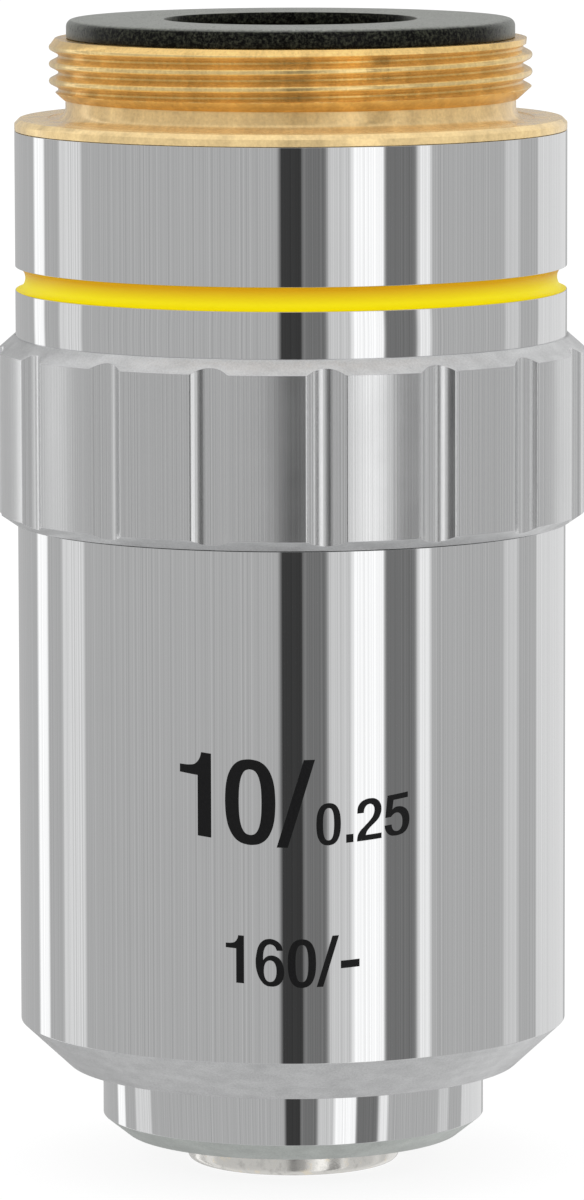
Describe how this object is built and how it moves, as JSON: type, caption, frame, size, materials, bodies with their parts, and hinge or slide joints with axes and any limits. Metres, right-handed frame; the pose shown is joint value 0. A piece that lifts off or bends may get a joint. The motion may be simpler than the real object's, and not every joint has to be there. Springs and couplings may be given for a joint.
{
  "type": "microscope objective",
  "caption": "Low power microscope objective: chromed barrel and fluted grip sleeve under a brass screw mount, with a colour ring and a stack of lens cells inside.",
  "frame": {"origin": "centre of the front cell's rim, in the plane that the objective stands on", "axes": "+Z along the optical axis, from the front lens to the screw mount; -Y towards the side with the markings"},
  "size_m": [0.0248, 0.0248, 0.0485],
  "materials": {
    "bare_brass": "turned bare brass",
    "shim_brass": "turned bare brass",
    "black_anodised": "matt black anodised",
    "sleeve_chrome": "bright chrome plate, satin on the grip's chamfer",
    "barrel_chrome": "bright chrome plate, satin on the cone",
    "nose_chrome": "bright chrome plate, satin on the chamfer",
    "cell_chrome": "bright chrome plate",
    "yellow_enamel": "glossy enamel",
    "blackened_brass": "chemically blackened",
    "coated_glass": "polished, with an antireflection coat",
    "screw_steel": "plain steel"
  },
  "bodies": {
    "root": {"aperture_disc": "blackened_brass", "body_tube": "nose_chrome", "colour_ring": "yellow_enamel", "field_lens": "coated_glass", "field_lens_cell": "blackened_brass", "field_lens_retainer": "blackened_brass", "front_cell": "cell_chrome", "front_doublet_cell": "blackened_brass", "front_doublet_crown": "coated_glass", "front_doublet_flint": "coated_glass", "front_doublet_retainer": "blackened_brass", "front_lens": "coated_glass", "front_retainer": "blackened_brass", "grip_sleeve": "sleeve_chrome", "grub_screw_1": "screw_steel", "grub_screw_2": "screw_steel", "grub_screw_3": "screw_steel", "lower_spacer": "blackened_brass", "marked_barrel": "barrel_chrome", "middle_spacer": "blackened_brass", "parfocal_ring": "shim_brass", "rear_doublet_cell": "blackened_brass", "rear_doublet_crown": "coated_glass", "rear_doublet_flint": "coated_glass", "rear_doublet_retainer": "blackened_brass", "rear_stop_ring": "black_anodised", "stack_lock_ring": "blackened_brass", "thread_mount": "bare_brass", "upper_spacer": "blackened_brass"}
  },
  "joints": []
}
